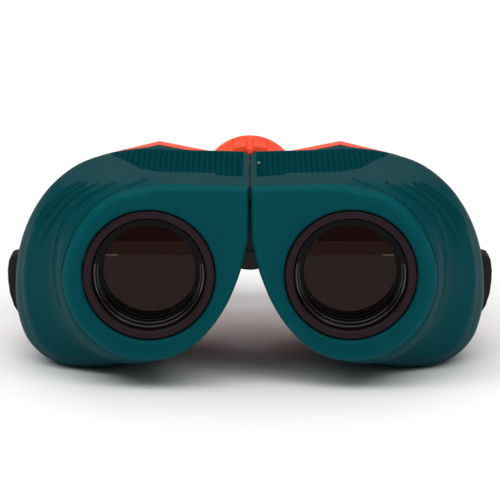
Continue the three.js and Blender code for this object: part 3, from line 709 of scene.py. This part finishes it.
for side, k in SIDES:
    ex = k * EYE_U
    E = side + "_eyepiece"
    O = "right_ocular" if k < 0 else "left_eyepiece"
    prof = [(8.6, 47.2), (9.35, 47.2), (9.6, 47.5), (9.6, 59.9), (9.75, 60.0), (10.7, 60.0), (11.0, 60.3), (11.0, 66.2), (10.75, 66.4), (10.75, 66.9), (11.0, 67.1),
            (11.0, 81.7), (10.8, 82.0), (10.4, 82.2), (10.4, 87.8), (10.2, 88.0), (8.6, 88.0), (8.6, 47.2)]
    tube_ = raw("tube", *lathe_data(prof, ex, EYE_Z, 112))
    ya, yb = (74.1, 77.0) if k < 0 else (70.6, 73.5)
    ux, uz = ex, EYE_Z - AXZ
    ul = math.hypot(ux, uz)
    dx, dz = ux / ul, uz / ul
    qx, qz = -dz, dx
    if k > 0:
        out = [(3.0, 4.3), (12, 4.15), (20, 4.6), (30.2, 5.6), (30.2, -5.6), (20, -4.6), (12, -4.15), (3.0, -4.3)]
    else:
        out = [(3.0, -4.3), (12, -4.15), (20, -4.6), (30.2, -5.6), (30.2, 5.6), (20, 4.6), (12, 4.15), (3.0, 4.3)]
    pts = [(dx * a + qx * b, AXZ + dz * a + qz * b) for a, b in out]
    area2 = sum(p[0] * q[1] - q[0] * p[1] for p, q in zip(pts, pts[1:] + pts[:1]))
    if area2 > 0:
        pts = pts[::-1]
    arm_ = rounded_plate(pts, ya, yb)
    eye = raw("eye", *lathe_data([(0, ya), (5.2, ya), (5.5, ya + .12), (5.6, ya + .4), (5.6, yb - .4), (5.5, yb - .12), (5.2, yb), (0, yb)], 0, AXZ, 72))
    carve(arm_, eye, op="UNION")
    carve(arm_, cylraw(2.0, 60, 90, 0, AXZ, 48), cylraw(9.6, 60, 90, ex, EYE_Z, 112))
    carve(tube_, arm_, op="UNION")
    o = place(tube_, side + "_tube", 1)
    bpy.data.objects.remove(tube_)
    done(o, M["black"], E, [side + "_eyepiece_tube"], 32)
    lathe(side + "_cell", [(7.2, 49.0), (8.1, 49.0), (8.3, 49.2), (8.3, 86.7), (8.1, 86.9), (7.2, 86.9), (7.0, 86.7), (7.0, 86.1), (7.2, 85.9), (7.8, 85.9), (7.8, 52.0), (7.2, 52.0), (7.2, 49.0)],
          ex, EYE_Z, M["ring"], O, [side + "_lens_cell"], 96, 35)
    lathe(side + "_eye_glass", [(7.4 * t, 81.0 + .95 * t * t) for t in np.linspace(0, 1, 9)] + [(7.5, 82.1), (7.5, 85.5), (7.4, 85.6)] + [(7.0 * t, 86.3 - .65 * t * t) for t in np.linspace(1, 0, 9)],
          ex, EYE_Z, M["eyeglass"], O, [side + "_eye_lens"], 72, 40)

# focusing gear on the centre line
lathe("sleeve", [(1.9, 48.7), (4.2, 48.7), (4.4, 48.9), (4.4, 50.0), (4.2, 50.2), (3.2, 50.2), (3.0, 50.4), (3.0, 67.2), (2.8, 67.4), (1.9, 67.4), (1.9, 48.7)], 0, AXZ,
      M["brass"], "left_half", ["focus_sleeve"], 72, 35)
lathe("retainer_ring", [(3.3, 66.9), (5.25, 66.9), (5.4, 67.05), (5.4, 67.75), (5.25, 67.9), (3.3, 67.9), (3.3, 66.9)], 0, AXZ, M["steel"], "left_half", ["wheel_retainer"], 72, 35)
lathe("shaft", [(0, 50.6), (1.45, 50.6), (1.65, 50.8), (1.65, 80.8), (1.45, 81.0), (0, 81.0)], 0, AXZ, M["steel"], "focus_shaft", ["focus_shaft"], 48, 35)
lathe("washer", [(1.95, 77.3), (4.45, 77.3), (4.6, 77.45), (4.6, 77.85), (4.45, 78.0), (1.95, 78.0), (1.95, 77.3)], 0, AXZ, M["steel"], "focus_shaft", ["bridge_washer"], 64, 35)
lathe("end_cap", [(1.9, 78.3), (5.1, 78.3), (5.4, 78.6), (5.4, 80.3)] + arc(4.5, 81.1, .95, -10, 80, 6) + [(3.4, 82.1), (2.2, 82.2), (0, 82.2), (0, 81.3), (1.9, 81.3), (1.9, 78.3)], 0, AXZ,
      M["black"], "focus_shaft", ["bridge_end_cap"], 72, 35)


# ------------------------------------------------------------------ strap lugs
def build_lug():
    pts = [(49.9, -17.2), (54.9, -17.2), (55.9, -15.6), (56.8, -12.5), (57.15, -9.5), (57.2, -7.0), (56.9, -4.6), (56.2, -3.5), (55.2, -3.2), (49.9, -3.2)]
    n = len(pts)
    V = [(x, y, z) for y in (35, 41) for x, z in pts]
    F = [tuple(range(n)), tuple(range(2 * n - 1, n - 1, -1))] + [(i, (i + 1) % n, n + (i + 1) % n, n + i) for i in range(n)]
    o = raw("lug", V, F)
    carve(o, boxraw(50.5, 54.9, 33, 43, -15.4, -4.9))
    return o


lg = build_lug()
for side, k in SIDES:
    o = place(lg, side + "_lug", k)
    done(o, M["lug"], side + "_half", [side + "_strap_lug"], 40)
    bv = o.modifiers.new("bevel", "BEVEL")
    bv.width, bv.segments, bv.limit_method, bv.angle_limit = .0005, 3, "ANGLE", math.radians(40)
bpy.data.objects.remove(lg)

# near-black sheet in the seam above the hinge, standing in for the shade in the gap between the halves (painted shade),
# so that nothing shows through it
shade_sheet = boxraw(-.16, .19, 3.0, 41.6, 16.9, 19.8)
o = place(shade_sheet, "seam_web", 1)
bpy.data.objects.remove(shade_sheet)
done(o, M["well"], "left_half", (), 30)

# small index dot on the left half, beside the seam
lathe("index_dot", [(0, 0), (.45, 0), (.45, .1)] + arc(0, .1, .45, 0, 90, 5)[1:], 0, 0, M["dot"], None)
dot = bpy.data.objects["index_dot"]
v = verts_of(dot)  # the lathe runs along y; stand it up on the top surface
c = T(np.array([0., 0, 0]))
v = (v - c)[:, [0, 2, 1]] + T(np.array([2.1, 26.0, 20.45]))
dot.data.vertices.foreach_set("co", v.ravel())
dot.data.update()
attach(dot, "left_half")

# ------------------------------------------------------------------ CAD nodes kept as they are
KEEP = {"body_shell": "shell", "eyepiece_tube": "black", "lens_cell": "ring", "field_lens": "glass",
        "prism_plate": "plate", "prism_front": "prism", "prism_rear": "prism", "prism_clip_front": "steel", "prism_clip_rear": "steel",
        "cover_screw_upper": "steel", "cover_screw_lower": "steel", "hinge_axle": "steel", "hinge_front_washer": "steel",
        "hinge_rear_nut": "brass", "focus_sleeve": "brass", "wheel_retainer": "steel", "focus_wheel_core": "ring",
        "focus_shaft": "steel", "bridge_washer": "steel", "bridge_end_cap": "black"}
for name, o in frame["nodes"].items():
    b = name.replace("left_", "").replace("right_", "")
    if b in KEEP:
        me = o.data
        if not me.materials:
            me.materials.append(M[KEEP[b]])
        for i in range(len(o.material_slots)):
            o.material_slots[i].material = M[KEEP[b]]
        if b in ("eyepiece_tube", "bridge_end_cap", "body_shell"):
            bv = o.modifiers.new("bevel", "BEVEL")
            bv.width, bv.segments, bv.limit_method, bv.angle_limit = .00025, 2, "ANGLE", math.radians(50)
            bv.harden_normals = False

# ------------------------------------------------------------------ floor, light, camera
fl = bpy.data.meshes.new("floor")
fl.from_pydata([(-6, -6, 0), (6, -6, 0), (6, 6, 0), (-6, 6, 0)], [], [(0, 1, 2, 3)])
floor = bpy.data.objects.new("floor", fl)
floor.location.z = -.00005
fm = mat("floor_pale", (.93, .93, .93), .7, spec=.0)
ft = fm.node_tree
tc = ft.nodes.new("ShaderNodeTexCoord")
vl = ft.nodes.new("ShaderNodeVectorMath")
vl.operation = "LENGTH"
# painted light: the floor glows, not at all near the model and more with distance from it, so that the far floor reads
# white
floor_glow_ramp = ft.nodes.new("ShaderNodeMapRange")
floor_glow_ramp.inputs["From Min"].default_value, floor_glow_ramp.inputs["From Max"].default_value = .16, 1.3
floor_glow_ramp.inputs["To Min"].default_value, floor_glow_ramp.inputs["To Max"].default_value = .0, 1.1
ft.links.new(tc.outputs["Object"], vl.inputs[0])
ft.links.new(vl.outputs["Value"], floor_glow_ramp.inputs["Value"])
ft.links.new(floor_glow_ramp.outputs["Result"], ft.nodes["Principled BSDF"].inputs["Emission Strength"])
ft.nodes["Principled BSDF"].inputs["Emission Color"].default_value = (1, 1, 1, 1)
fl.materials.append(fm)
COL.objects.link(floor)

w = bpy.data.worlds.new("studio")
bpy.context.scene.world = w
w.use_nodes = True
wn = w.node_tree
bg = wn.nodes["Background"]
tc = wn.nodes.new("ShaderNodeTexCoord")
sx = wn.nodes.new("ShaderNodeSeparateXYZ")
mr = wn.nodes.new("ShaderNodeMapRange")
mr.inputs["From Min"].default_value, mr.inputs["From Max"].default_value = .15, .75
mr.inputs["To Min"].default_value, mr.inputs["To Max"].default_value = .08, .45
wn.links.new(tc.outputs["Generated"], sx.inputs["Vector"])
wn.links.new(sx.outputs["Z"], mr.inputs["Value"])
wn.links.new(mr.outputs["Result"], bg.inputs["Strength"])
bg.inputs["Color"].default_value = (1, 1, 1, 1)


def area(name, loc, target, size, power, sizey=None):
    l = bpy.data.lights.new(name, "AREA")
    l.energy = power
    l.size = size
    if sizey:
        l.shape = "RECTANGLE"
        l.size_y = sizey
    o = bpy.data.objects.new(name, l)
    o.location = loc
    o.rotation_euler = (Vector(target) - Vector(loc)).to_track_quat("-Z", "Y").to_euler()
    COL.objects.link(o)


area("key", (-.15, -.80, 1.05), (0, 0, .02), 2.2, 16.5, .5)
area("top", (0, .35, 1.2), (0, 0, .02), 1.2, 4.5)
area("fill", (.6, -.9, .8), (0, 0, .02), .8, 1.5)

D, EL = .600, math.radians(13)
cam = bpy.data.cameras.new("camera")
cam.sensor_width = 36
cam.lens = 36 * (600 / .2225) / 500
cam.clip_start, cam.clip_end = .05, 50
co = bpy.data.objects.new("camera", cam)
oz = (6.05 - FLOOR) / 1000
co.location = (.00004, -LEN2 / 1000 - D * math.cos(EL), oz + D * math.sin(EL))
co.rotation_euler = (math.pi / 2 - EL, 0, 0)
COL.objects.link(co)
bpy.context.scene.camera = co
bpy.context.scene.view_settings.view_transform = "Standard"
bpy.context.scene.view_settings.look = "None"
